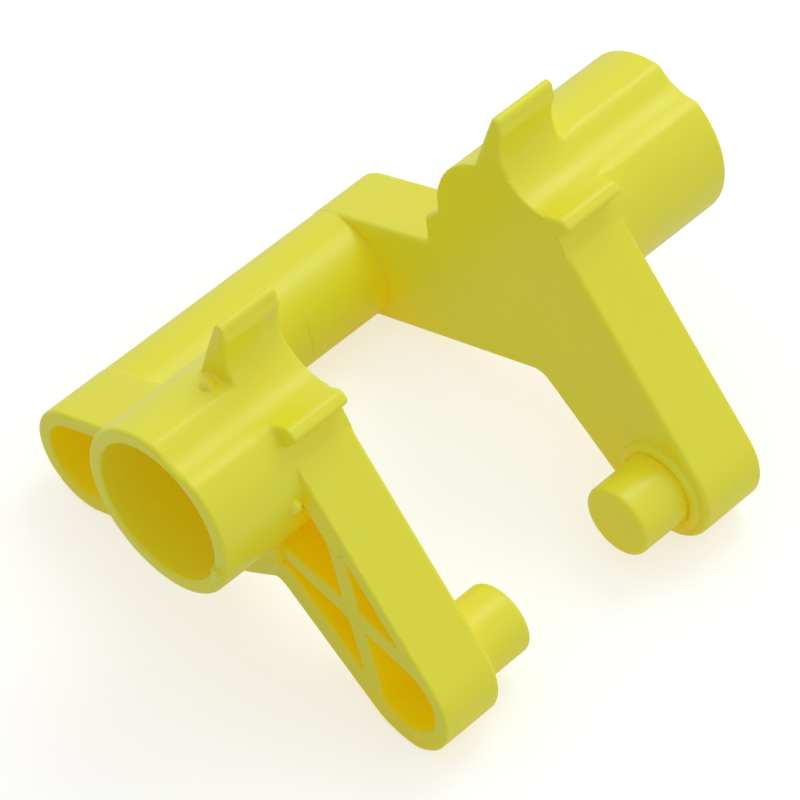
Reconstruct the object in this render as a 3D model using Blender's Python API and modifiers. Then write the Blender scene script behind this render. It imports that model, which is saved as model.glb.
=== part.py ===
"""Pivot yoke: a one-piece moulded plastic rocker lever with two forked arms.

Two mirrored flanges hang on one pivot axis.  Each flange carries a hollow boss that turns on
a stub, an arm that ends in a short inward pin, and a web that runs down to the cross tube
that ties the two flanges together.  The whole lever is one moulding, so it is one solid.

The outline is laid out in the lever plane: the boss axis at the origin, +X from the boss
axis to the pin axis, +Z up, and Y along the boss axis with the rear flange at +Y.  An empty
then turns the lever until it rests on its tube lobes and its arm ends, and moves it so that
the middle of its footprint is the origin, on Z = 0.
"""
from math import asin, atan2, cos, degrees, hypot, pi, radians, sin

import bmesh
import bpy
from mathutils import Matrix, Vector

MM = 0.001
NAME = "pivot_yoke"

# Boss, on the pivot axis
BOSS_RADIUS = 14.0
BORE_RADIUS = 11.5
BOSS_END_FRONT = 48.7
BOSS_END_REAR = 55.2
RIM_ROUNDING = 0.6
HUB_INSET = 0.4

# Flanges, as distances from the middle plane
FLANGE_INNER = 22.05
FLANGE_OUTER_FRONT = 33.1
FLANGE_OUTER_REAR = 33.8
FLOOR_THICKNESS = 2.5
WALL_THICKNESS = 2.7
EDGE_ROUNDING = 0.3

# Arm and its inward pin
PIN_X = 42.75
ARM_END_RADIUS = 9.3
ARM_TOP_POINT = (3.0, 13.36)
ARM_LOWER_SLOPE = radians(5.7)
CORNER_FILLET = 3.0
PIN_RADIUS = 6.0
PIN_TIP = 12.0
PIN_TIP_ROUNDING = 0.8
COLLAR_OUTER_RADIUS = 7.8
COLLAR_INNER_RADIUS = 6.35
COLLAR_HEIGHT = 0.9
COLLAR_CHAMFER = 0.3

# Open side of the arm, and its ribs, each between two points of the lever plane
CAVITY_END = (42.6, 0.9)
CAVITY_END_RADIUS = 6.2
CAVITY_LOWER_POINT = (17.0, -7.2)
RIB_THICKNESS = 3.0
ARM_RIBS = (((15.5, 10.3), (43.0, -7.0)), ((13.0, -7.1), (44.0, 10.7)))

# Web and the cross tube at its foot
TUBE_X = -6.4
TUBE_Z = -43.6
TUBE_RADIUS = 9.1
TUBE_BORE_RADIUS = 6.3
LOBE_RADIUS = 9.2
WEB_RIGHT_POINT = (18.5, -14.9)
WEB_LEFT_POINT = (-5.0, -19.0)
WEB_TAB = ((-8.7, -15.5), (-8.7, -10.4))

# Saddle between the two horns, cut along the whole length as a groove
SADDLE_X = -8.1
SADDLE_Z = 18.3
SADDLE_RADIUS = 7.4
FIN_POINTS = ((-13.3, 5.5), (-18.4, 16.4), (-18.0, 17.1), (-17.2, 17.2), (-15.8, 16.1))
LUG_POINTS = ((-1.9, 16.1), (-1.1, 16.9), (1.2, 17.4), (1.6, 17.0), (1.7, 12.5))

# Front flange only: raised pad over hub and web, and the raised lip on the arm beside it
PAD_OUTER = 34.5
PAD_EDGE_X = 19.4
PAD_ROUNDING = 0.5
LIP_OUTER = 33.8
LIP_INSET = 0.25
LIP_ROUNDING = 0.6

# Small moulded nubs on the front boss, as angles about the pivot axis
NUB_ANGLES = (radians(142.5), radians(46))
NUB_RADIUS = 1.3
NUB_Y = -35.1
GATE_ANGLE = radians(28)
GATE_SIZE = (2.6, 0.5, 1.3)

ROUND_STEPS = 64
PIN_STEPS = 40
ARC_STEP = radians(9)

PLASTIC_COLOUR = (0.68, 0.66, 0.045, 1.0)
PLASTIC_ROUGHNESS = 0.38
SHARP_ANGLE = radians(35)


# ---------------------------------------------------------------- plane geometry
def arc(centre, radius, start, end, step=ARC_STEP):
    """Points on a circle from one angle to another, both included."""
    count = max(2, round(abs(end - start) / step))
    angles = (start + (end - start) * i / count for i in range(count + 1))
    return [(centre[0] + radius * cos(a), centre[1] + radius * sin(a)) for a in angles]


def tangent_angle(centre_a, radius_a, centre_b, radius_b, side):
    """Angle, seen from both centres, where a common outer tangent touches the circles."""
    dx = centre_b[0] - centre_a[0]
    dz = centre_b[1] - centre_a[1]
    lean = asin((radius_a - radius_b) / hypot(dx, dz))
    return atan2(dz, dx) + side * (pi / 2 - lean)


def line_crossing(point_a, angle_a, point_b, angle_b):
    """Where two lines, each given by a point and a direction, cross."""
    da = Vector((cos(angle_a), sin(angle_a)))
    db = Vector((cos(angle_b), sin(angle_b)))
    gap = Vector(point_b) - Vector(point_a)
    along = (gap.x * db.y - gap.y * db.x) / (da.x * db.y - da.y * db.x)
    return tuple(Vector(point_a) + along * da)


def fillet(corner, angle_in, angle_out, radius):
    """Arc that rounds a corner between a line arriving and a line leaving it."""
    turn = (angle_out - angle_in + pi) % (2 * pi) - pi
    side = 1 if turn > 0 else -1
    back = radius * abs(sin(turn / 2) / cos(turn / 2))
    start = Vector(corner) - back * Vector((cos(angle_in), sin(angle_in)))
    centre = start + side * radius * Vector((-sin(angle_in), cos(angle_in)))
    first = angle_in - side * pi / 2
    return arc(tuple(centre), radius, first, first + turn)


BOSS = (0.0, 0.0)
PIN = (PIN_X, 0.0)
TUBE = (TUBE_X, TUBE_Z)


def web_angles(inset):
    """Angles at the tube where the right and left edges of the web touch its lobe."""
    radius = LOBE_RADIUS - inset
    right = tangent_angle(TUBE, radius, WEB_RIGHT_POINT, -inset, -1)
    left = tangent_angle(TUBE, radius, WEB_LEFT_POINT, -inset, 1)
    return right, left


def arm_top_angle(inset):
    """Angle at the arm end where the arm's upper edge touches it."""
    return tangent_angle(ARM_TOP_POINT, -inset, PIN, ARM_END_RADIUS - inset, 1)


def flange_outline():
    """Closed outline of one flange, clockwise from the underside of the hub."""
    hub_radius = BOSS_RADIUS - HUB_INSET
    right, left = web_angles(0.0)
    arm_end = arc(PIN, ARM_END_RADIUS, arm_top_angle(0.0), ARM_LOWER_SLOPE - pi / 2)
    web_direction = right - pi / 2
    corner = line_crossing(arm_end[-1], ARM_LOWER_SLOPE, WEB_RIGHT_POINT, web_direction)
    points = [*WEB_TAB]
    points += arc(BOSS, hub_radius, radians(-132), radians(-202))
    points += [*FIN_POINTS, *LUG_POINTS, ARM_TOP_POINT]
    points += arm_end
    points += fillet(corner, ARM_LOWER_SLOPE + pi, web_direction, CORNER_FILLET)
    points += arc(TUBE, LOBE_RADIUS, right, left - 2 * pi)
    points += [WEB_LEFT_POINT]
    return points


def arm_cavity_outline():
    """Outline of the arm's open side, from the middle of the hub to the arm end."""
    upper = arm_top_angle(WALL_THICKNESS)
    normal = Vector((cos(upper), sin(upper)))
    top_start = tuple(Vector(ARM_TOP_POINT) - WALL_THICKNESS * normal)
    lower = tangent_angle(CAVITY_LOWER_POINT, 0.0, CAVITY_END, CAVITY_END_RADIUS, -1)
    end = arc(CAVITY_END, CAVITY_END_RADIUS, upper, lower)
    return [(-4.0, -2.0), top_start, *end, CAVITY_LOWER_POINT]


def web_cavity_outline():
    """Outline of the web's open side, one wall thickness inside the web."""
    right, left = web_angles(WALL_THICKNESS)
    normal = Vector((cos(right), sin(right)))
    top_right = tuple(Vector(WEB_RIGHT_POINT) - WALL_THICKNESS * normal)
    normal = Vector((cos(left), sin(left)))
    top_left = tuple(Vector(WEB_LEFT_POINT) - WALL_THICKNESS * normal)
    lobe = arc(TUBE, LOBE_RADIUS - WALL_THICKNESS, right, left - 2 * pi)
    return [(0.0, 4.0), top_right, *lobe, top_left]


def pad_outline():
    """Outline of the raised pad, over hub, web and lobe."""
    right, left = web_angles(0.0)
    foot = line_crossing(WEB_RIGHT_POINT, right - pi / 2, (PAD_EDGE_X, 0.0), pi / 2)
    lobe = arc(TUBE, LOBE_RADIUS, right, left - 2 * pi)
    return [(0.0, 5.0), (PAD_EDGE_X - 1.5, -6.0), foot, *lobe, WEB_LEFT_POINT]


def lip_outline():
    """Outline of the raised lip, along the arm's upper wall next to the hub."""
    slope = arm_top_angle(0.0) - pi / 2
    start = (ARM_TOP_POINT[0], ARM_TOP_POINT[1] - LIP_INSET)
    end = line_crossing(start, slope, (PAD_EDGE_X, 0.0), pi / 2)
    depth = 2 * WALL_THICKNESS
    return [start, end, (end[0], end[1] - depth), (start[0], start[1] - depth)]


# ---------------------------------------------------------------- Blender helpers
def new_collection(name):
    collection = bpy.data.collections.new(name)
    bpy.context.scene.collection.children.link(collection)
    return collection


def add_object(name, mesh, collection):
    obj = bpy.data.objects.new(name, mesh)
    collection.objects.link(obj)
    return obj


def plate(name, outline, y_from, y_to, collection, chamfer=0.0, segments=2):
    """A flat outline of the lever plane, made solid between two distances along Y."""
    curve = bpy.data.curves.new(name, "CURVE")
    curve.dimensions = "2D"
    curve.fill_mode = "BOTH"
    curve.extrude = abs(y_to - y_from) / 2 * MM
    spline = curve.splines.new("POLY")
    spline.points.add(len(outline) - 1)
    for point, (x, z) in zip(spline.points, outline):
        point.co = (x * MM, z * MM, 0.0, 1.0)
    spline.use_cyclic_u = True
    guide = add_object(name + "_guide", curve, collection)
    guide.location = (0.0, (y_from + y_to) / 2 * MM, 0.0)
    guide.rotation_euler = (pi / 2, 0.0, 0.0)
    bpy.context.view_layer.update()
    depsgraph = bpy.context.evaluated_depsgraph_get()
    mesh = bpy.data.meshes.new_from_object(guide.evaluated_get(depsgraph))
    cage = bmesh.new()
    cage.from_mesh(mesh)
    bmesh.ops.remove_doubles(cage, verts=cage.verts, dist=1e-6)
    bmesh.ops.dissolve_limit(cage, angle_limit=radians(1), verts=cage.verts, edges=cage.edges)
    bmesh.ops.recalc_face_normals(cage, faces=cage.faces)
    cage.to_mesh(mesh)
    cage.free()
    solid = add_object(name, mesh, collection)
    solid.matrix_world = guide.matrix_world
    bpy.data.objects.remove(guide)
    bpy.data.curves.remove(curve)
    if chamfer:
        bevel = solid.modifiers.new("edge_rounding", "BEVEL")
        bevel.width = chamfer * MM
        bevel.segments = segments
        bevel.limit_method = "ANGLE"
        bevel.angle_limit = radians(50)
    return solid


def turned(name, profile, centre, side, collection, steps=ROUND_STEPS, ring=False):
    """A round solid on a line along Y, from (radius, distance) points, outer end first."""
    mesh = bpy.data.meshes.new(name)
    verts = [(radius * MM, 0.0, height * MM) for radius, height in profile]
    edges = [(i, i + 1) for i in range(len(profile) - 1)]
    if ring:
        edges.append((len(profile) - 1, 0))
    mesh.from_pydata(verts, edges, [])
    solid = add_object(name, mesh, collection)
    solid.location = (centre[0] * MM, 0.0, centre[1] * MM)
    solid.rotation_euler = (-side * pi / 2, 0.0, 0.0)
    screw = solid.modifiers.new("turn", "SCREW")
    screw.steps = steps
    screw.render_steps = steps
    screw.use_merge_vertices = True
    screw.merge_threshold = 1e-6
    return solid


def bar(name, ends, y_from, y_to, thickness, collection):
    """A straight rib between two points of the lever plane."""
    (x0, z0), (x1, z1) = ends
    length = hypot(x1 - x0, z1 - z0)
    cage = bmesh.new()
    size = Vector((length, abs(y_to - y_from), thickness)) * MM
    bmesh.ops.create_cube(cage, size=1.0, matrix=Matrix.Diagonal(size.to_4d()))
    mesh = bpy.data.meshes.new(name)
    cage.to_mesh(mesh)
    cage.free()
    solid = add_object(name, mesh, collection)
    middle = Vector((x0 + x1, y_from + y_to, z0 + z1)) / 2
    solid.location = middle * MM
    solid.rotation_euler = (0.0, -atan2(z1 - z0, x1 - x0), 0.0)
    return solid


def dome(name, centre, radius, collection):
    cage = bmesh.new()
    bmesh.ops.create_uvsphere(cage, u_segments=12, v_segments=8, radius=radius * MM)
    mesh = bpy.data.meshes.new(name)
    cage.to_mesh(mesh)
    cage.free()
    solid = add_object(name, mesh, collection)
    solid.location = Vector(centre) * MM
    return solid


def combine(target, tool, operation):
    """Add a tool to the target or cut it away, and keep the tool as a guide only."""
    boolean = target.modifiers.new(tool.name, "BOOLEAN")
    boolean.operation = operation
    boolean.solver = "MANIFOLD"
    boolean.object = tool
    tool.hide_render = True
    tool.display_type = "WIRE"


# ---------------------------------------------------------------- turned profiles
def rounded_end(radius, height, rounding, count=3):
    """Profile points around the outer corner of a turned end, from its face outwards."""
    middle = (radius - rounding, height - rounding)
    return arc(middle, rounding, pi / 2, 0.0, step=pi / 2 / count)


def boss_profile(end):
    return [(0.0, end), *rounded_end(BOSS_RADIUS, end, RIM_ROUNDING),
            (BOSS_RADIUS, FLANGE_INNER), (0.0, FLANGE_INNER)]


def bore_profile(end):
    floor = FLANGE_INNER + FLOOR_THICKNESS
    return [(0.0, end + 5.0), (BORE_RADIUS, end + 5.0), (BORE_RADIUS, floor), (0.0, floor)]


def pin_profile():
    """Pin from its root inside the floor down to its rounded tip near the middle."""
    root = FLANGE_INNER + 1.0
    corner = arc((PIN_RADIUS - PIN_TIP_ROUNDING, PIN_TIP + PIN_TIP_ROUNDING),
                 PIN_TIP_ROUNDING, 0.0, -pi / 2, step=pi / 6)
    return [(0.0, root), (PIN_RADIUS, root), *corner, (0.0, PIN_TIP)]


def collar_profile():
    """Low ring around the root of the pin, with a narrow gap to the pin."""
    root = FLANGE_INNER + 1.0
    top = FLANGE_INNER - COLLAR_HEIGHT
    return [(COLLAR_INNER_RADIUS, root), (COLLAR_OUTER_RADIUS, root),
            (COLLAR_OUTER_RADIUS, top + COLLAR_CHAMFER),
            (COLLAR_OUTER_RADIUS - COLLAR_CHAMFER, top),
            (COLLAR_INNER_RADIUS, top)]


def straight_profile(radius, low, high):
    return [(0.0, high), (radius, high), (radius, low), (0.0, low)]


# ---------------------------------------------------------------- the lever
def cavity(name, outline, ribs, y_floor, y_beyond, guides):
    """Cutter for one open side of a flange, which leaves the hub and the ribs standing."""
    cutter = plate(name, outline, y_floor, y_beyond, guides)
    side = 1 if y_floor > 0 else -1
    hub = straight_profile(BOSS_RADIUS - HUB_INSET, abs(y_floor) - 1.0, abs(y_beyond) + 1.0)
    combine(cutter, turned(name + "_hub", hub, BOSS, side, guides), "DIFFERENCE")
    for number, ends in enumerate(ribs, 1):
        rib = bar(f"{name}_rib_{number}", ends, y_floor - side, y_beyond + side,
                  RIB_THICKNESS, guides)
        combine(cutter, rib, "DIFFERENCE")
    return cutter


def add_front_details(body, guides):
    """Raised pad and lip of the front flange."""
    pad = plate("front_pad", pad_outline(), -FLANGE_OUTER_FRONT + 4.0, -PAD_OUTER, guides,
                PAD_ROUNDING)
    combine(body, pad, "UNION")
    lip = plate("front_lip", lip_outline(), -FLANGE_OUTER_FRONT + 4.0, -LIP_OUTER, guides,
                LIP_ROUNDING, 1)
    combine(body, lip, "UNION")


def add_flange(body, label, side, flange_outer, boss_end, guides):
    """One flange with its boss, arm, pin and web; side is -1 for front and +1 for rear."""
    y_floor = side * (FLANGE_INNER + FLOOR_THICKNESS)
    y_beyond = side * (PAD_OUTER + 5.0)
    flange = plate(f"{label}_flange", flange_outline(), side * FLANGE_INNER,
                   side * flange_outer, guides, EDGE_ROUNDING)
    combine(body, flange, "UNION")
    if side < 0:
        add_front_details(body, guides)
    openings = (("arm", arm_cavity_outline(), ARM_RIBS), ("web", web_cavity_outline(), ()))
    for name, outline, ribs in openings:
        cutter = cavity(f"{label}_{name}_cavity", outline, ribs, y_floor, y_beyond, guides)
        combine(body, cutter, "DIFFERENCE")
    boss = turned(f"{label}_boss", boss_profile(boss_end), BOSS, side, guides)
    combine(body, boss, "UNION")
    bore = turned(f"{label}_bore", bore_profile(boss_end), BOSS, side, guides)
    combine(body, bore, "DIFFERENCE")
    pin = turned(f"{label}_pin", pin_profile(), PIN, side, guides, PIN_STEPS)
    combine(body, pin, "UNION")
    collar = turned(f"{label}_collar", collar_profile(), PIN, side, guides, PIN_STEPS,
                    ring=True)
    combine(body, collar, "UNION")


def add_small_features(body, guides):
    """Nubs beside the front flange and the gate mark on the front rim."""
    reach = BOSS_RADIUS - 0.1
    for number, angle in enumerate(NUB_ANGLES, 1):
        centre = (reach * cos(angle), NUB_Y, reach * sin(angle))
        combine(body, dome(f"nub_{number}", centre, NUB_RADIUS, guides), "UNION")
    length, height, width = GATE_SIZE
    middle = (BOSS_RADIUS + BORE_RADIUS) / 2
    ends = [(r * cos(GATE_ANGLE), r * sin(GATE_ANGLE))
            for r in (middle - length / 2, middle + length / 2)]
    gate = bar("gate_mark", ends, -BOSS_END_FRONT + 1.0, -BOSS_END_FRONT - height, width,
               guides)
    combine(body, gate, "UNION")


def build():
    for obj in list(bpy.data.objects):
        bpy.data.objects.remove(obj)
    parts = new_collection(NAME)
    guides = new_collection(NAME + "_guides")

    reach = FLANGE_INNER + 1.0
    body = turned(NAME, straight_profile(TUBE_RADIUS, -reach, reach), TUBE, -1, parts, 48)
    add_flange(body, "front", -1, FLANGE_OUTER_FRONT, BOSS_END_FRONT, guides)
    add_flange(body, "rear", 1, FLANGE_OUTER_REAR, BOSS_END_REAR, guides)

    length = BOSS_END_REAR + 5.0
    tube_bore = turned("tube_bore", straight_profile(TUBE_BORE_RADIUS, -length, length), TUBE,
                       1, guides, 48)
    combine(body, tube_bore, "DIFFERENCE")
    groove = turned("saddle_groove", straight_profile(SADDLE_RADIUS, -length, length),
                    (SADDLE_X, SADDLE_Z), 1, guides)
    combine(body, groove, "DIFFERENCE")
    add_small_features(body, guides)
    return body, guides


def finish_mesh(body):
    """Keep the joined solid as one mesh, smooth across its rounded surfaces."""
    bpy.context.view_layer.update()
    depsgraph = bpy.context.evaluated_depsgraph_get()
    mesh = bpy.data.meshes.new_from_object(body.evaluated_get(depsgraph))
    body.modifiers.clear()
    body.data = mesh
    mesh.shade_smooth()
    mesh.set_sharp_from_angle(angle=SHARP_ANGLE)


def finish_material(body):
    plastic = bpy.data.materials.new("yellow_plastic")
    plastic.use_nodes = True
    shader = plastic.node_tree.nodes["Principled BSDF"]
    shader.inputs["Base Color"].default_value = PLASTIC_COLOUR
    shader.inputs["Roughness"].default_value = PLASTIC_ROUGHNESS
    shader.inputs["Metallic"].default_value = 0.0
    body.data.materials.append(plastic)


def rest_on_floor(body, guides):
    """Stand the lever on its tube lobes and arm ends, with its bounds centred on the origin."""
    under = tangent_angle(TUBE, LOBE_RADIUS, PIN, ARM_END_RADIUS, -1)
    rest = bpy.data.objects.new("rest", None)
    bpy.context.scene.collection.objects.link(rest)
    rest.rotation_euler = (0.0, under + pi / 2, 0.0)
    for obj in (body, *guides.objects):
        obj.parent = rest
    bpy.context.view_layer.update()
    points = [body.matrix_world @ vertex.co for vertex in body.data.vertices]
    low = Vector(min(point[i] for point in points) for i in range(3))
    high = Vector(max(point[i] for point in points) for i in range(3))
    middle = (low + high) / 2
    rest.location = (-middle.x, -middle.y, -low.z)


yoke, yoke_guides = build()
finish_mesh(yoke)
finish_material(yoke)
rest_on_floor(yoke, yoke_guides)
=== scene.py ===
from math import asin, atan2, cos, hypot, pi, radians, sin

import bpy
import numpy as np
from mathutils import Euler, Matrix, Vector


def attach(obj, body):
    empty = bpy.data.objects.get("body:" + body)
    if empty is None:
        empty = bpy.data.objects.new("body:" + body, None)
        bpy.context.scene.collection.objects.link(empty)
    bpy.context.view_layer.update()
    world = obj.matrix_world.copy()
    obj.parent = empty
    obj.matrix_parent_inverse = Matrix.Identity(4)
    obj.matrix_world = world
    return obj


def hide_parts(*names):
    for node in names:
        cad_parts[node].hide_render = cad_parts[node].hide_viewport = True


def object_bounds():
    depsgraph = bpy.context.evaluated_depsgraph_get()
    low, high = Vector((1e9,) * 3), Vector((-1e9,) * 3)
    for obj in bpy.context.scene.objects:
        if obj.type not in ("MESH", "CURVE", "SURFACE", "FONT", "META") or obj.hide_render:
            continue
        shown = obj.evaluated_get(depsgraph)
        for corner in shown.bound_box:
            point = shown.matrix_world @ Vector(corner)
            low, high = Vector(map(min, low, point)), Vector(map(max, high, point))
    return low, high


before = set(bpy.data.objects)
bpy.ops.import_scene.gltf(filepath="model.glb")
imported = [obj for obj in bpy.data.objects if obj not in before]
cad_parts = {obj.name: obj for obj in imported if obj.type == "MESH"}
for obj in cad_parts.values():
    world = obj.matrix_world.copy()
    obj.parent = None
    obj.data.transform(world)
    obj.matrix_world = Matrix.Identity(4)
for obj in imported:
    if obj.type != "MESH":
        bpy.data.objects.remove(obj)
cad_low, cad_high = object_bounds()

NODE = "pivot_yoke"
MM = 0.001
TINY = 1e-9               # keeps a divisor away from zero

# ------------------------------------------------------------------ sizes, in millimetres
# Lever frame: boss axis at the origin, +X to the pin axis, +Z up, Y along the boss axis.
BOSS = (0.0, 0.0)
BOSS_RADIUS = 14.0
BORE_RADIUS = 11.5
BOSS_END = {"front": 48.7, "rear": 55.2}
RIM_ROUNDING = 0.7
BORE_RIM_ROUNDING = 0.45

FLANGE_INNER = 22.05
FLANGE_OUTER = {"front": 33.1, "rear": 33.8}
FLOOR = 24.55
WALL = 2.7
UPPER_WALL = 2.35
OUTER_EDGE = 0.35         # rounding of the outer edges
LOWER_EDGE = 1.2          # and of the arm's lower outer edge
LOWER_EDGE_START = (14.0, -4.0)
LOWER_EDGE_RUN = (6.0, 3.0)
INNER_EDGE = 0.8
BOSS_FILLET = 0.8
TUBE_FILLET = 0.1
FILLET_DEPTH = 2.0        # how far inside the outline the two fillets reach full size
LEAST_FILLET = 0.02       # share of a fillet left at the outline itself
OVERLAP = 1.0             # how far pieces of the body run into each other
POCKET_RIM = 0.45
POCKET_FLOOR = 1.2

PIN = (42.75, 0.0)
PIN_RADIUS = 6.0
PIN_TIP = 12.0
PIN_TIP_ROUNDING = 0.9
PIN_FILLET = 0.25
COLLAR_RADII = (6.3, 7.8)
COLLAR_HEIGHT = 0.9
COLLAR_ROUNDING = 0.5
COLLAR_FILLET = 0.25
VALLEY_HEIGHT = 0.6       # shallow valley between the pin and its collar
VALLEY_RADIUS = 6.8
VALLEY_FILLET = 0.3
ARM_END_RADIUS = 9.3
ARM_TOP = (3.0, 13.36)
ARM_LOWER_SLOPE = radians(5.7)
CORNER_FILLET = 3.0
POCKET_END = (42.6, 0.9)
POCKET_END_RADIUS = 6.2
POCKET_LOWER = (17.0, -7.2)
POCKET_HUB_POINT = (-4.0, -2.0)
RIB_WIDTH = 3.0
RIBS = (((15.5, 10.3), (43.0, -7.0)), ((13.0, -7.1), (44.0, 10.7)))
RIB_FILLET = 0.8

TUBE = (-6.4, -43.6)
TUBE_RADIUS = 9.1
TUBE_BORE = 6.3
TUBE_BORE_RIM = 0.4
KNIT_LINE_Y = 5.8         # faint crease round part of the tube
KNIT_LINE_WIDTH = 0.3
KNIT_LINE_DEPTH = 0.4
KNIT_LINE_ANGLE = radians(56)
KNIT_LINE_REACH = radians(32)
KNIT_LINE_BEND = radians(65)
KNIT_LINE_DRIFT = 1.2
LOBE_RADIUS = 9.2
WEB_RIGHT = (18.5, -14.9)
WEB_LEFT = (-5.0, -19.0)
WEB_TAB = ((-8.7, -15.5), (-8.8, -10.9))
WEB_HUB_POINT = (0.0, 4.0)

SADDLE = (-8.1, 18.3)
SADDLE_RADIUS = 7.4
SADDLE_CREASE = (0.3, 1.0)    # edge rounding beside the flange, and along the boss
CREASE_RUN = 3.0
HORN_EDGE = 0.7
FIN = ((-13.3, 5.5), (-18.4, 16.4), (-18.0, 17.1), (-17.2, 17.2), (-15.8, 16.1))
LUG = ((-1.9, 16.1), (-1.1, 16.9), (1.2, 17.4), (1.6, 17.0), (1.7, 12.5))

PAD_OUTER = 34.5
PAD_EDGE = 19.4
PAD_RAMP = 2.4
PAD_ROUNDING = 0.6
PAD_RAMP_ROUNDING = 0.3
PAD_THICKNESS = 4.0
PAD_HUB_POINTS = ((0.0, 5.0), (17.9, -6.0), (20.4, -8.0))
LIP_RISE = 0.75
LIP_DEPTH = 3.1
LIP_ROUNDING = 0.45
LIP_END_ROUNDING = 0.15

NUB_ANGLES = (radians(142.5), radians(46))
NUB_RADIUS = 1.15
NUB_FILLET = 0.15
NUB_AT = 35.1
NUB_DEPTH = 0.1           # how far the middle of a nub lies under the boss surface
GATE_ANGLE = radians(28)
GATE_SIZE = (2.6, 1.3)
GATE_HEIGHT = 0.5
GATE_ROUNDING = 0.15

OUTLINE_STEP = 0.125      # spacing of the flat distance maps
CELLS_PER_STEP = 3        # so many map steps make one cell of the solid grid
CORNER_SOFTNESS = 0.3     # how far corners of the outlines are rounded
SOFTENING_SPAN = 3        # widths after which the rounding weights are cut off
MARGIN = 2.0
MAP_END = 0.001           # keeps a point that is looked up inside the last cell of a map
FACES_KEPT = 150000
SLOPE_REACH = 0.04        # half the span over which the surface's slope is measured
NORMAL_REACH = 0.12       # the same for shading normals, wide enough to smooth them
LEAST_SLOPE = 0.1         # smallest squared slope that a point is moved by
SETTLE_ROUNDS = 2
SETTLE_LIMIT = 0.1        # furthest move a round once the faces are thinned out

# ------------------------------------------------------------------ looks, in metres
LIT_YELLOW = (0.88, 0.86, 0.045, 1.0)
WARM_YELLOW = (0.89, 0.85, 0.035, 1.0)
# painted shade: an oranger yellow mixed into recesses in place of the light bounced and shaded
# inside them
RECESS_SHADE_YELLOW = (0.98, 0.80, 0.0, 1.0)
# colour of the painted glow in recesses
PAINTED_GLOW_YELLOW = (1.0, 0.85, 0.0, 1.0)
PAINTED_RECESS_GLOW = 0.06        # painted glow: emission in recesses, standing in for light that comes through the thin walls
RECESS_REACH = 0.02       # metres
OPEN_SHARE = 0.85         # share of open sky where a recess starts
DEEP_SHARE = 0.35         # and where the painted shade is deepest
ROUGHNESS = (0.28, 0.38)
NOISE_SPAN = (0.3, 0.7)   # the stretch of a noise value that is used
STREAK_SCALE = 45
GLOSS_SCALE = 120
FLOW_SCALE = 90           # shallow waves of the moulded surface
FLOW_STRENGTH = 0.12
FLOW_HEIGHT = 0.0002
GRAIN_SCALE = 2600        # fine texture of the mould
GRAIN_STRENGTH = 0.06
GRAIN_HEIGHT = 0.00005
PLASTIC_IOR = 1.5
TRANSLUCENCY = 0.15
TRANSLUCENT_REACH = (1.0, 0.8, 0.1)
TRANSLUCENT_DEPTH = 0.002

WHITE = (1.0, 1.0, 1.0, 1.0)
PALE = (0.6, 0.6, 0.6, 1.0)
FLOOR_ROUGHNESS = 0.9
FLOOR_SHEEN = 0.1
FLOOR_HALF = 6.0
FLOOR_DROP = 0.0001       # keeps the floor just clear of the faces that rest on it
FLOOR_GLOW = 0.15
FLOOR_GLOW_SEEN = 0.40    # extra glow that only the camera sees, to keep the ground white

SKY_BRIGHT_SIDE = (-0.05, 0.75, 0.65)
SKY_RANGE = (-0.8, 0.9)
SKY_STRENGTH = (0.3, 0.88)
KEY_SIDE = (-0.1, 0.5, 0.85)
KEY_DISTANCE = 0.9
KEY_SIZE = 0.45
KEY_POWER = 1.1

CAMERA_PLACE = (0.348443, -0.342373, 0.573299)
CAMERA_TURN = (radians(41.3567), radians(1.0434), radians(44.5297))
CAMERA_LENS = 224.56
CAMERA_SENSOR = 36.0
CAMERA_CLIP = 0.05
LIGHT_BOUNCES = 8


# ------------------------------------------------------------------ outlines of the lever
def arc(centre, radius, start, end, step=radians(1.5)):
    """Points on a circle from one angle to another, both included."""
    count = max(2, round(abs(end - start) / step))
    angles = (start + (end - start) * i / count for i in range(count + 1))
    return [(centre[0] + radius * cos(a), centre[1] + radius * sin(a)) for a in angles]


def tangent_angle(centre_a, radius_a, centre_b, radius_b, side):
    """Angle, seen from both centres, where a common outer tangent touches the circles."""
    dx = centre_b[0] - centre_a[0]
    dz = centre_b[1] - centre_a[1]
    lean = asin((radius_a - radius_b) / hypot(dx, dz))
    return atan2(dz, dx) + side * (pi / 2 - lean)


def line_crossing(point_a, angle_a, point_b, angle_b):
    """Where two lines, each given by a point and a direction, cross."""
    da = Vector((cos(angle_a), sin(angle_a)))
    db = Vector((cos(angle_b), sin(angle_b)))
    gap = Vector(point_b) - Vector(point_a)
    along = (gap.x * db.y - gap.y * db.x) / (da.x * db.y - da.y * db.x)
    return tuple(Vector(point_a) + along * da)


def fillet(corner, angle_in, angle_out, radius):
    """Arc that rounds a corner between a line arriving and a line leaving it."""
    turn = (angle_out - angle_in + pi) % (2 * pi) - pi
    side = 1 if turn > 0 else -1
    back = radius * abs(sin(turn / 2) / cos(turn / 2))
    start = Vector(corner) - back * Vector((cos(angle_in), sin(angle_in)))
    centre = start + side * radius * Vector((-sin(angle_in), cos(angle_in)))
    first = angle_in - side * pi / 2
    return arc(tuple(centre), radius, first, first + turn)


def web_angles(inset):
    """Where the web's two edges, moved in by inset, leave the lobe."""
    radius = LOBE_RADIUS - inset
    right = tangent_angle(TUBE, radius, WEB_RIGHT, -inset, -1)
    left = tangent_angle(TUBE, radius, WEB_LEFT, -inset, 1)
    return right, left


def arm_top_angle(inset):
    """Direction in which the arm's upper edge, moved in by inset, faces."""
    return tangent_angle(ARM_TOP, -inset, PIN, ARM_END_RADIUS - inset, 1)


def moved_in(point, angle, inset):
    """A point moved inwards, against the direction that its edge faces."""
    return point[0] - inset * cos(angle), point[1] - inset * sin(angle)


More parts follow.
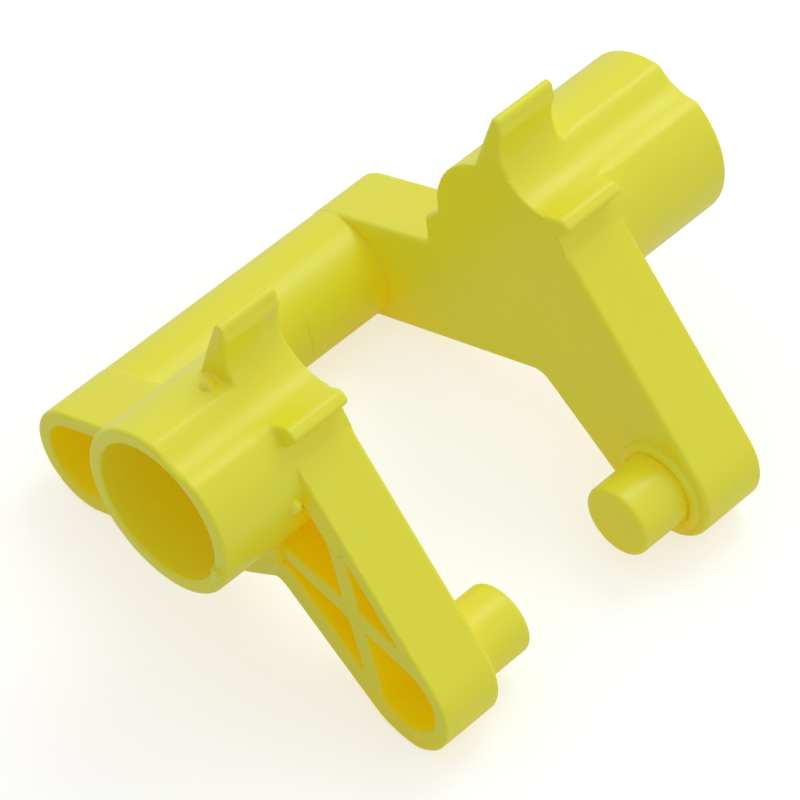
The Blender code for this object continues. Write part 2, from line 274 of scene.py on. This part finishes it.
def flange_outline():
    """The whole flange, round the hub, horns, arm, web and lobe."""
    right, left = web_angles(0.0)
    arm_end = arc(PIN, ARM_END_RADIUS, arm_top_angle(0.0), ARM_LOWER_SLOPE - pi / 2)
    web_direction = right - pi / 2
    corner = line_crossing(arm_end[-1], ARM_LOWER_SLOPE, WEB_RIGHT, web_direction)
    points = [*WEB_TAB]
    points += arc(BOSS, BOSS_RADIUS, radians(-129), radians(-203))
    points += [*FIN, *LUG, ARM_TOP]
    points += arm_end
    points += fillet(corner, ARM_LOWER_SLOPE + pi, web_direction, CORNER_FILLET)
    points += arc(TUBE, LOBE_RADIUS, right, left - 2 * pi)
    points += [WEB_LEFT]
    return points


def arm_pocket_outline():
    """The open side of the arm, before the ribs."""
    upper = arm_top_angle(UPPER_WALL)
    lower = tangent_angle(POCKET_LOWER, 0.0, POCKET_END, POCKET_END_RADIUS, -1)
    end = arc(POCKET_END, POCKET_END_RADIUS, upper, lower)
    return [POCKET_HUB_POINT, moved_in(ARM_TOP, upper, UPPER_WALL), *end, POCKET_LOWER]


def web_pocket_outline():
    """The hollow cell of the web."""
    right, left = web_angles(WALL)
    lobe = arc(TUBE, LOBE_RADIUS - WALL, right, left - 2 * pi)
    corners = moved_in(WEB_RIGHT, right, WALL), moved_in(WEB_LEFT, left, WALL)
    return [WEB_HUB_POINT, corners[0], *lobe, corners[1]]


def pad_outline():
    """The raised pad over hub, web and lobe."""
    right, left = web_angles(0.0)
    lobe = arc(TUBE, LOBE_RADIUS, right, left - 2 * pi)
    foot = line_crossing(WEB_RIGHT, right - pi / 2, PAD_HUB_POINTS[-1], pi / 2)
    return [*PAD_HUB_POINTS, foot, *lobe, WEB_LEFT]


# ------------------------------------------------------------------ signed distances
def outline_distance(points, x, z):
    """Distance to a closed outline, negative inside it."""
    nearest = np.full(x.shape, np.inf, np.float32)
    inside = np.zeros(x.shape, bool)
    for (x0, z0), (x1, z1) in zip(points, points[1:] + points[:1]):
        ex, ez = x1 - x0, z1 - z0
        wx, wz = x - x0, z - z0
        along = np.clip((wx * ex + wz * ez) / max(ex * ex + ez * ez, TINY), 0.0, 1.0)
        nearest = np.minimum(nearest, (wx - ex * along) ** 2 + (wz - ez * along) ** 2)
        if ez:
            inside ^= ((z0 > z) != (z1 > z)) & (wx < ex * wz / ez)
    distance = np.sqrt(nearest)
    return np.where(inside, -distance, distance)


def bar_distance(ends, width, x, z):
    """Distance to a straight bar without ends, between two points of the lever plane."""
    (x0, z0), (x1, z1) = ends
    length = hypot(x1 - x0, z1 - z0)
    across = ((x - x0) * (z1 - z0) - (z - z0) * (x1 - x0)) / length
    return np.abs(across) - width / 2


def both(a, b, rounding):
    """Where two solids overlap, with the edge between their surfaces rounded."""
    corner = np.hypot(np.maximum(rounding + a, 0), np.maximum(rounding + b, 0))
    return np.minimum(-rounding, np.maximum(a, b)) + corner


def either(a, b, rounding):
    """Two solids joined, with a fillet where their surfaces meet."""
    corner = np.hypot(np.maximum(rounding - a, 0), np.maximum(rounding - b, 0))
    return np.maximum(rounding, np.minimum(a, b)) - corner


def cut(a, b, rounding):
    """The first solid less the second, with the rim of the cut rounded."""
    return both(a, -b, rounding)


def softened(values, width):
    """A distance map with its corners rounded and its straight stretches unmoved."""
    reach = int(SOFTENING_SPAN * width / OUTLINE_STEP)
    offsets = np.arange(-reach, reach + 1)
    weights = np.exp(-0.5 * (offsets * OUTLINE_STEP / width) ** 2)
    weights = (weights / weights.sum()).astype(np.float32)
    for axis in (0, 1):
        padding = [(reach, reach) if i == axis else (0, 0) for i in (0, 1)]
        padded = np.pad(values, padding, mode="edge")
        size = values.shape[axis]
        values = sum(w * np.take(padded, range(i, i + size), axis=axis)
                     for i, w in enumerate(weights))
    return values


class Plane:
    """Distance maps of the outlines over the lever plane."""

    def __init__(self):
        outlines = {"flange": flange_outline(), "arm": arm_pocket_outline(),
                    "web": web_pocket_outline(), "pad": pad_outline()}
        corners = np.array(outlines["flange"])
        self.low = np.floor(corners.min(0) - MARGIN)
        count = np.ceil((corners.max(0) + MARGIN - self.low) / OUTLINE_STEP).astype(int)
        count += -count % CELLS_PER_STEP + 1
        self.x, self.z = (self.low[i] + OUTLINE_STEP * np.arange(count[i]) for i in (0, 1))
        x, z = np.meshgrid(self.x, self.z, indexing="ij")
        x, z = x.astype(np.float32), z.astype(np.float32)
        self.maps = {name: outline_distance(points, x, z) for name, points in outlines.items()}
        for ends in RIBS:
            rib = bar_distance(ends, RIB_WIDTH, x, z)
            self.maps["arm"] = cut(self.maps["arm"], rib, RIB_FILLET)
        for name in self.maps:
            self.maps[name] = softened(self.maps[name], CORNER_SOFTNESS)

    def coarse(self):
        """The maps on the coarse grid, ready to be combined with distances along Y."""
        every = slice(None, None, CELLS_PER_STEP)
        maps = {name: m[every, every, None] for name, m in self.maps.items()}
        x = self.x[every, None, None].astype(np.float32)
        z = self.z[None, every, None].astype(np.float32)
        return maps, x, z

    def at(self, x, z):
        """The maps at single points."""
        u = np.clip((x - self.low[0]) / OUTLINE_STEP, 0, len(self.x) - 1 - MAP_END)
        v = np.clip((z - self.low[1]) / OUTLINE_STEP, 0, len(self.z) - 1 - MAP_END)
        i, j = u.astype(int), v.astype(int)
        u, v = u - i, v - j
        return {name: (m[i, j] * (1 - u) + m[i + 1, j] * u) * (1 - v)
                + (m[i, j + 1] * (1 - u) + m[i + 1, j + 1] * u) * v
                for name, m in self.maps.items()}


def radial(centre, x, z):
    """Distance from an axis that runs along Y."""
    return np.hypot(x - centre[0], z - centre[1])


def flange_field(maps, x, z, out, label):
    """One flange with its pockets, lip and pad; out is the distance from the middle plane."""
    outer = FLANGE_OUTER[label]
    boss_side = radial(BOSS, x, z) - BOSS_RADIUS
    tube_side = radial(TUBE, x, z) - TUBE_RADIUS
    inward = np.clip(-maps["flange"] / FILLET_DEPTH, LEAST_FILLET, 1.0)
    top = np.maximum(either(out - outer, boss_side, BOSS_FILLET * inward),
                     out - outer - BOSS_FILLET)
    bottom = np.maximum(either(FLANGE_INNER - out, tube_side, TUBE_FILLET * inward),
                        FLANGE_INNER - out - TUBE_FILLET)
    under_arm = np.clip((x - LOWER_EDGE_START[0]) / LOWER_EDGE_RUN[0], 0, 1)
    under_arm = under_arm * np.clip((LOWER_EDGE_START[1] - z) / LOWER_EDGE_RUN[1], 0, 1)
    outer_edge = OUTER_EDGE + (LOWER_EDGE - OUTER_EDGE) * under_arm
    solid = both(maps["flange"], top, outer_edge)
    if label == "front":
        solid = np.minimum(solid, pad_field(maps, x, out, outer))
    solid = both(solid, bottom, INNER_EDGE)
    for name in ("arm", "web"):
        pocket = both(maps[name], FLOOR - out, POCKET_FLOOR)
        solid = cut(solid, pocket, POCKET_RIM)
    if label == "front":
        solid = np.minimum(solid, lip_field(x, z, out, outer))
    return solid


def pad_field(maps, x, out, outer):
    """Raised pad of the front flange, with a short ramp down to the arm."""
    rise = PAD_OUTER - outer
    ramp = ((x - PAD_EDGE) * rise + (out - outer) * PAD_RAMP) / hypot(rise, PAD_RAMP)
    pad = both(np.maximum(maps["pad"], maps["flange"]), out - PAD_OUTER, PAD_ROUNDING)
    return np.maximum(both(pad, ramp, PAD_RAMP_ROUNDING), outer - PAD_THICKNESS - out)


def lip_field(x, z, out, outer):
    """Slanted lip on the arm's upper wall, between the hub and the pad's edge."""
    upper = arm_top_angle(0.0)
    depth = -((x - ARM_TOP[0]) * cos(upper) + (z - ARM_TOP[1]) * sin(upper))
    face = out - outer - LIP_RISE * (depth - OUTER_EDGE) / LIP_DEPTH
    lip = both(depth - LIP_DEPTH, face, LIP_ROUNDING)
    lip = np.maximum(lip, OUTER_EDGE - depth)
    ends = np.maximum(x - PAD_EDGE, ARM_TOP[0] - x)
    return np.maximum(both(lip, ends, LIP_END_ROUNDING), FLOOR - OVERLAP - out)


def pin_field(x, z, out):
    """Inward pin, and the low collar round its root."""
    from_axis = radial(PIN, x, z)
    pin = both(from_axis - PIN_RADIUS, np.maximum(PIN_TIP - out, out - FLOOR), PIN_TIP_ROUNDING)
    ring = np.maximum(COLLAR_RADII[0] - from_axis, from_axis - COLLAR_RADII[1])
    collar = both(ring, FLANGE_INNER - COLLAR_HEIGHT - out, COLLAR_ROUNDING)
    valley = np.maximum(from_axis - VALLEY_RADIUS, FLANGE_INNER - VALLEY_HEIGHT - out)
    collar = either(collar, valley, VALLEY_FILLET)
    return pin, np.maximum(collar, out - FLANGE_INNER - OVERLAP)


def side_field(maps, x, z, out, label):
    """Everything on one side of the middle plane."""
    saddle = radial(SADDLE, x, z) - SADDLE_RADIUS
    flange = cut(flange_field(maps, x, z, out, label), saddle, HORN_EDGE)
    end = BOSS_END[label]
    boss_side = radial(BOSS, x, z)
    boss = both(boss_side - BOSS_RADIUS, out - end, RIM_ROUNDING)
    boss = np.maximum(boss, FLANGE_INNER - out)
    along = np.clip((out - FLANGE_OUTER[label]) / CREASE_RUN, 0, 1)
    crease = SADDLE_CREASE[0] + (SADDLE_CREASE[1] - SADDLE_CREASE[0]) * along
    boss = cut(boss, saddle, crease)
    body = np.minimum(flange, boss)
    bore = both(boss_side - BORE_RADIUS, FLOOR - out, POCKET_FLOOR)
    body = cut(body, bore, BORE_RIM_ROUNDING)
    pin, collar = pin_field(x, z, out)
    body = either(body, collar, COLLAR_FILLET)
    body = either(body, pin, PIN_FILLET)
    tube_axis = radial(TUBE, x, z)
    tube = np.maximum(tube_axis - TUBE_RADIUS, out - FLANGE_INNER - OVERLAP)
    if label == "rear":
        tube = tube + knit_line(x, z, out)
    body = np.minimum(body, tube)
    body = cut(body, tube_axis - TUBE_BORE, TUBE_BORE_RIM)
    if label == "front":
        body = small_features(body, x, z, out, end)
    return body


def knit_line(x, z, out):
    """Shallow crease across the upper side of the tube, fading out at both ends."""
    angle = np.arctan2(z - TUBE[1], x - TUBE[0])
    fade = np.clip(1.0 - np.abs(angle - KNIT_LINE_ANGLE) / KNIT_LINE_REACH, 0, 1)
    place = KNIT_LINE_Y + KNIT_LINE_DRIFT * np.clip(angle - KNIT_LINE_BEND, 0, 1)
    profile = np.exp(-((out - place) / KNIT_LINE_WIDTH) ** 2)
    return KNIT_LINE_DEPTH * np.sqrt(fade) * profile


def small_features(body, x, z, out, end):
    """Nubs beside the front flange and the gate mark on the front rim."""
    for angle in NUB_ANGLES:
        nub_x = (BOSS_RADIUS - NUB_DEPTH) * cos(angle)
        nub_z = (BOSS_RADIUS - NUB_DEPTH) * sin(angle)
        nub = np.sqrt((x - nub_x) ** 2 + (z - nub_z) ** 2 + (out - NUB_AT) ** 2) - NUB_RADIUS
        body = either(body, nub, NUB_FILLET)
    along = x * cos(GATE_ANGLE) + z * sin(GATE_ANGLE) - (BOSS_RADIUS + BORE_RADIUS) / 2
    across = -x * sin(GATE_ANGLE) + z * cos(GATE_ANGLE)
    sides = np.abs(along) - GATE_SIZE[0] / 2, np.abs(across) - GATE_SIZE[1] / 2
    gate = both(*sides, GATE_ROUNDING)
    gate = both(gate, out - end - GATE_HEIGHT, GATE_ROUNDING)
    return np.minimum(body, np.maximum(gate, end - OVERLAP - out))


def field(maps, x, z, y):
    """Signed distance to the whole lever."""
    front = side_field(maps, x, z, -y, "front")
    rear = side_field(maps, x, z, y, "rear")
    return np.where(y < 0, front, rear)


# ------------------------------------------------------------------ surface
def surface_net(values, origin, step):
    """Closed mesh of quads where values change sign on a regular grid."""
    inside = values < 0
    size = np.array(values.shape)
    units = np.eye(3, dtype=int)

    def shifted(array, offset):
        return array[tuple(slice(o, n - 1 + o) for o, n in zip(offset, size))]

    offsets = [(i, j, k) for i in (0, 1) for j in (0, 1) for k in (0, 1)]
    filled = sum(shifted(inside, o).astype(np.uint8) for o in offsets)
    active = (filled > 0) & (filled < 8)
    cells = np.argwhere(active)
    total = np.zeros((len(cells), 3))
    hits = np.zeros(len(cells))
    for axis in range(3):
        for offset in (o for o in offsets if o[axis] == 0):
            start = cells + offset
            a = values[tuple(start.T)]
            b = values[tuple((start + units[axis]).T)]
            crossing = (a < 0) != (b < 0)
            share = np.where(crossing, a / np.where(crossing, a - b, 1.0), 0.0)
            total += crossing[:, None] * (np.array(offset) + share[:, None] * units[axis])
            hits += crossing
    points = origin + (cells + total / hits[:, None]) * step
    index = np.full(active.shape, -1, np.int64)
    index[active] = np.arange(len(cells))
    quads = []
    for axis in range(3):
        u, v = units[(axis + 1) % 3], units[(axis + 2) % 3]
        ahead = np.roll(inside, -1, axis)
        crossing = inside != ahead
        crossing[tuple(slice(-1, None) if i == axis else slice(None) for i in range(3))] = False
        at = np.argwhere(crossing)
        ring = [index[tuple((at - move).T)] for move in (0 * u, u, u + v, v)]
        quad = np.stack(ring, 1)
        leaving = inside[tuple(at.T)]
        quad[~leaving] = quad[~leaving][:, ::-1]
        quads.append(quad)
    return points, np.concatenate(quads)


def gradient(plane, points, reach):
    """Slope of the signed distance at each point."""
    x, y, z = points.T
    slope = np.empty_like(points)
    for axis in range(3):
        ends = []
        for sign in (1, -1):
            p = [x, y, z]
            p[axis] = p[axis] + sign * reach
            ends.append(field(plane.at(p[0], p[2]), p[0], p[2], p[1]))
        slope[:, axis] = (ends[0] - ends[1]) / (2 * reach)
    return slope


def settle(plane, points, rounds, limit):
    """Points moved on to the surface along its slope, by up to limit a round."""
    for _ in range(rounds):
        x, y, z = points.T
        value = field(plane.at(x, z), x, z, y)
        slope = gradient(plane, points, SLOPE_REACH)
        square = np.maximum((slope ** 2).sum(1), LEAST_SLOPE)
        points = points - (np.clip(value, -limit, limit) / square)[:, None] * slope
    return points


def lever_mesh():
    """Points, in the lever frame, and quads of the finished surface."""
    plane = Plane()
    maps, x, z = plane.coarse()
    step = OUTLINE_STEP * CELLS_PER_STEP
    y_low, y_high = -BOSS_END["front"] - MARGIN, BOSS_END["rear"] + MARGIN
    y = (y_low + step * np.arange(int((y_high - y_low) / step) + 1)).astype(np.float32)
    values = np.concatenate([
        side_field(maps, x, z, -y[None, None, y < 0], "front"),
        side_field(maps, x, z, y[None, None, y >= 0], "rear")], axis=2)
    origin = np.array([plane.low[0], plane.low[1], y_low])
    points, quads = surface_net(values, origin, step)
    points = points[:, [0, 2, 1]]
    quads = quads[:, ::-1]
    points = settle(plane, points, SETTLE_ROUNDS, step / 2)
    return plane, points, quads


def link_new(name, data):
    """New object for a mesh, a light or a camera, linked to the scene."""
    thing = bpy.data.objects.new(name, data)
    bpy.context.scene.collection.objects.link(thing)
    return thing


def mesh_object(name, points, quads):
    """Object made of the given points and quads, linked to the scene."""
    mesh = bpy.data.meshes.new(name)
    mesh.vertices.add(len(points))
    mesh.vertices.foreach_set("co", points.astype(np.float32).ravel())
    mesh.loops.add(quads.size)
    mesh.loops.foreach_set("vertex_index", quads.ravel().astype(np.int32))
    mesh.polygons.add(len(quads))
    mesh.polygons.foreach_set("loop_start", np.arange(0, quads.size, 4, dtype=np.int32))
    mesh.update(calc_edges=True)
    return link_new(name, mesh)


def thin_out(body, ratio):
    """Collapses faces where the surface is flattest, down to the given share of them."""
    modifier = body.modifiers.new("thin_out", "DECIMATE")
    modifier.ratio = ratio
    depsgraph = bpy.context.evaluated_depsgraph_get()
    mesh = bpy.data.meshes.new_from_object(body.evaluated_get(depsgraph))
    body.modifiers.clear()
    body.data = mesh


def build_piece():
    """The whole lever as one smooth piece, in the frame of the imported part."""
    plane, points, quads = lever_mesh()
    body = mesh_object("yoke_body", points, quads)
    thin_out(body, min(1.0, FACES_KEPT / (2 * len(quads))))
    mesh = body.data
    points = np.zeros(len(mesh.vertices) * 3, np.float32)
    mesh.vertices.foreach_get("co", points)
    points = settle(plane, points.reshape(-1, 3).astype(float), SETTLE_ROUNDS, SETTLE_LIMIT)
    normals = gradient(plane, points, NORMAL_REACH)
    normals /= np.maximum(np.linalg.norm(normals, axis=1), TINY)[:, None]
    turn, shift = rest_placement()
    placed = (points @ turn.T + shift) * MM
    mesh.vertices.foreach_set("co", placed.astype(np.float32).ravel())
    mesh.update()
    mesh.shade_smooth()
    mesh.normals_split_custom_set_from_vertices((normals @ turn.T).tolist())
    return body


def rest_placement():
    """Turn and shift, in millimetres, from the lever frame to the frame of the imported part."""
    tilt = tangent_angle(TUBE, LOBE_RADIUS, PIN, ARM_END_RADIUS, -1) + pi / 2
    turn = np.array(Matrix.Rotation(tilt, 3, "Y"))
    pin = turn @ (PIN[0], 0.0, PIN[1])
    low = np.array([(turn @ (TUBE[0], 0.0, TUBE[1]))[0] - LOBE_RADIUS,
                    -BOSS_END["front"] - GATE_HEIGHT, pin[2] - ARM_END_RADIUS])
    high = np.array([pin[0] + ARM_END_RADIUS, BOSS_END["rear"], 0.0])
    cad_middle = (np.array(cad_low) + np.array(cad_high)) / 2 / MM
    shift = cad_middle - (low + high) / 2
    shift[2] = cad_low[2] / MM - low[2]
    return turn, shift


# ------------------------------------------------------------------ material
class Nodes:
    """Short forms for building the node tree of a material or a world."""

    def __init__(self, owner):
        owner.use_nodes = True
        self.tree = owner.node_tree

    def __getitem__(self, name):
        return self.tree.nodes[name]

    def new(self, kind, **settings):
        node = self.tree.nodes.new("ShaderNode" + kind)
        for name, value in settings.items():
            setattr(node, name, value)
        return node

    def link(self, source, target):
        self.tree.links.new(source, target)

    def noise(self, scale, detail):
        """Noise value in object space; scale is in repeats per metre."""
        place = self.new("TexCoord")
        node = self.new("TexNoise")
        node.inputs["Scale"].default_value = scale
        node.inputs["Detail"].default_value = detail
        self.link(place.outputs["Object"], node.inputs["Vector"])
        return node.outputs["Fac"]

    def mapped(self, source, start, end):
        """A value carried from one range to another, clamped at both ends."""
        node = self.new("MapRange")
        for side, ends in (("From", start), ("To", end)):
            node.inputs[side + " Min"].default_value = ends[0]
            node.inputs[side + " Max"].default_value = ends[1]
        self.link(source, node.inputs["Value"])
        return node.outputs["Result"]

    def mixed(self, factor, first, second):
        """Mix of two colours; each is a colour or the output of another node."""
        node = self.new("Mix", data_type="RGBA")
        self.link(factor, node.inputs["Factor"])
        for name, colour in (("A", first), ("B", second)):
            if isinstance(colour, tuple):
                node.inputs[name].default_value = colour
            else:
                self.link(colour, node.inputs[name])
        return node.outputs["Result"]

    def scaled(self, source, factor, offset=0.0):
        """A value times a factor plus an offset."""
        node = self.new("Math", operation="MULTIPLY_ADD")
        node.inputs[1].default_value = factor
        node.inputs[2].default_value = offset
        self.link(source, node.inputs[0])
        return node.outputs["Value"]

    def bump(self, height, strength, distance):
        """Bumped normal, ready to be used or to carry a second bump."""
        node = self.new("Bump")
        node.inputs["Strength"].default_value = strength
        node.inputs["Distance"].default_value = distance
        self.link(height, node.inputs["Height"])
        return node


def plastic_material():
    """Semi-gloss moulded plastic: painted shade and a painted glow in recesses, fine grain,
    faint flow marks.
    """
    material = bpy.data.materials.new("yellow_plastic")
    nodes = Nodes(material)
    shader = nodes["Principled BSDF"]

    streaks = nodes.mapped(nodes.noise(STREAK_SCALE, 3), NOISE_SPAN, (0.0, 1.0))
    surface = nodes.mixed(streaks, LIT_YELLOW, WARM_YELLOW)
    sky = nodes.new("AmbientOcclusion", samples=8)
    sky.inputs["Distance"].default_value = RECESS_REACH
    depth = nodes.mapped(sky.outputs["AO"], (OPEN_SHARE, DEEP_SHARE), (0.0, 1.0))
    # painted shade: recesses found by ambient occlusion get a deeper, oranger yellow
    nodes.link(nodes.mixed(depth, surface, RECESS_SHADE_YELLOW), shader.inputs["Base Color"])
    # painted light: a faint yellow emission that grows with the recess mask
    nodes.link(nodes.scaled(depth, PAINTED_RECESS_GLOW), shader.inputs["Emission Strength"])
    shader.inputs["Emission Color"].default_value = PAINTED_GLOW_YELLOW

    gloss = nodes.mapped(nodes.noise(GLOSS_SCALE, 4), NOISE_SPAN, ROUGHNESS)
    nodes.link(gloss, shader.inputs["Roughness"])
    flow = nodes.bump(nodes.noise(FLOW_SCALE, 2), FLOW_STRENGTH, FLOW_HEIGHT)
    grain = nodes.bump(nodes.noise(GRAIN_SCALE, 2), GRAIN_STRENGTH, GRAIN_HEIGHT)
    nodes.link(flow.outputs["Normal"], grain.inputs["Normal"])
    nodes.link(grain.outputs["Normal"], shader.inputs["Normal"])

    shader.inputs["IOR"].default_value = PLASTIC_IOR
    shader.inputs["Subsurface Weight"].default_value = TRANSLUCENCY
    shader.inputs["Subsurface Radius"].default_value = TRANSLUCENT_REACH
    shader.inputs["Subsurface Scale"].default_value = TRANSLUCENT_DEPTH
    return material


# ------------------------------------------------------------------ stage, light and camera
def floor_paint():
    """Matt pale paint, a little brighter to the camera than to the lever."""
    paint = bpy.data.materials.new("pale_floor")
    nodes = Nodes(paint)
    shader = nodes["Principled BSDF"]
    shader.inputs["Roughness"].default_value = FLOOR_ROUGHNESS
    shader.inputs["Specular IOR Level"].default_value = FLOOR_SHEEN
    shader.inputs["Base Color"].default_value = PALE
    shader.inputs["Emission Color"].default_value = WHITE
    seen = nodes.new("LightPath").outputs["Is Camera Ray"]
    glow = nodes.scaled(seen, FLOOR_GLOW_SEEN, FLOOR_GLOW)
    nodes.link(glow, shader.inputs["Emission Strength"])
    return paint


def add_floor():
    mesh = bpy.data.meshes.new("floor")
    signs = ((-1, -1), (1, -1), (1, 1), (-1, 1))
    corners = [(i * FLOOR_HALF, j * FLOOR_HALF, -FLOOR_DROP) for i, j in signs]
    mesh.from_pydata(corners, [], [(0, 1, 2, 3)])
    mesh.materials.append(floor_paint())
    link_new("floor", mesh)


def add_sky():
    """White surroundings, brightest above and behind the lever."""
    world = bpy.data.worlds.new("studio")
    bpy.context.scene.world = world
    nodes = Nodes(world)
    background = nodes["Background"]
    background.inputs["Color"].default_value = WHITE
    place = nodes.new("TexCoord")
    towards = nodes.new("VectorMath", operation="DOT_PRODUCT")
    towards.inputs[1].default_value = SKY_BRIGHT_SIDE
    nodes.link(place.outputs["Generated"], towards.inputs[0])
    level = nodes.mapped(towards.outputs["Value"], SKY_RANGE, SKY_STRENGTH)
    nodes.link(level, background.inputs["Strength"])


def add_key_light():
    lamp = bpy.data.lights.new("key", "AREA")
    lamp.shape = "DISK"
    lamp.size = KEY_SIZE
    lamp.energy = KEY_POWER
    light = link_new("key", lamp)
    away = Vector(KEY_SIDE).normalized()
    light.location = away * KEY_DISTANCE
    light.rotation_euler = away.to_track_quat("Z", "Y").to_euler()


def add_camera():
    camera = bpy.data.cameras.new("camera")
    camera.sensor_width = CAMERA_SENSOR
    camera.lens = CAMERA_LENS
    camera.clip_start = CAMERA_CLIP
    view = link_new("camera", camera)
    view.location = CAMERA_PLACE
    view.rotation_euler = Euler(CAMERA_TURN)
    bpy.context.scene.camera = view


def main():
    body = build_piece()
    body.data.materials.append(plastic_material())
    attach(body, "root")
    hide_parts(NODE)
    add_floor()
    add_sky()
    add_key_light()
    add_camera()
    bpy.context.scene.view_settings.view_transform = "Standard"
    bpy.context.scene.cycles.diffuse_bounces = LIGHT_BOUNCES


main()
